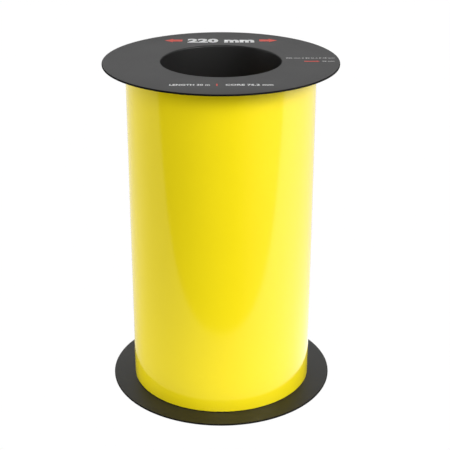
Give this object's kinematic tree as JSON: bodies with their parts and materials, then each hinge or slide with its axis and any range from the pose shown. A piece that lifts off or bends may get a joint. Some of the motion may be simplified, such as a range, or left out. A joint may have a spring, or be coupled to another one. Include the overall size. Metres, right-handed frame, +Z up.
{
  "type": "roll of sign vinyl",
  "caption": "Roll of self-adhesive yellow sign vinyl wound on a flanged core, standing on one flange, with an open bore for a spindle.",
  "frame": {"origin": "centre of the lower flange's underside, the face that the roll stands on", "axes": "+Z up along the roll's axis, towards the printed upper flange; -Y is the front, and the web's free end is at the back, on the +Y side"},
  "size_m": [0.151, 0.151, 0.224],
  "materials": {
    "black_plastic": "satin",
    "yellow_vinyl": "gloss",
    "release_liner": "satin",
    "paperboard": "matte",
    "white_tape": "matte",
    "clear_tape": "satin",
    "white_ink": "satin",
    "red_ink": "satin"
  },
  "bodies": {
    "spool": {"core_tube": "paperboard", "core_tape": "white_tape", "wound_web": "yellow_vinyl", "last_turn_film": "yellow_vinyl", "last_turn_liner": "release_liner"},
    "upper_flange": {"upper_flange": "black_plastic"},
    "lower_flange": {"lower_flange": "black_plastic"},
    "web_end": {"web_end_film": "yellow_vinyl", "web_end_liner": "release_liner", "hold_down_tape": "clear_tape"}
  },
  "joints": [
    {"name": "upper_flange_pull", "type": "slide", "parent": "spool", "child": "upper_flange", "axis": [0, 0, 1], "range_m": [0, 0.04]},
    {"name": "lower_flange_pull", "type": "slide", "parent": "lower_flange", "child": "spool", "axis": [0, 0, 1], "range_m": [0, 0.04]},
    {"name": "web_end_lift", "type": "hinge", "parent": "spool", "child": "web_end", "pos_m": [0.03053, 0.05287, 0.112], "axis": [0, 0, -1], "range_deg": [0, 60], "stiffness_Nm_per_rad": 0.01}
  ]
}
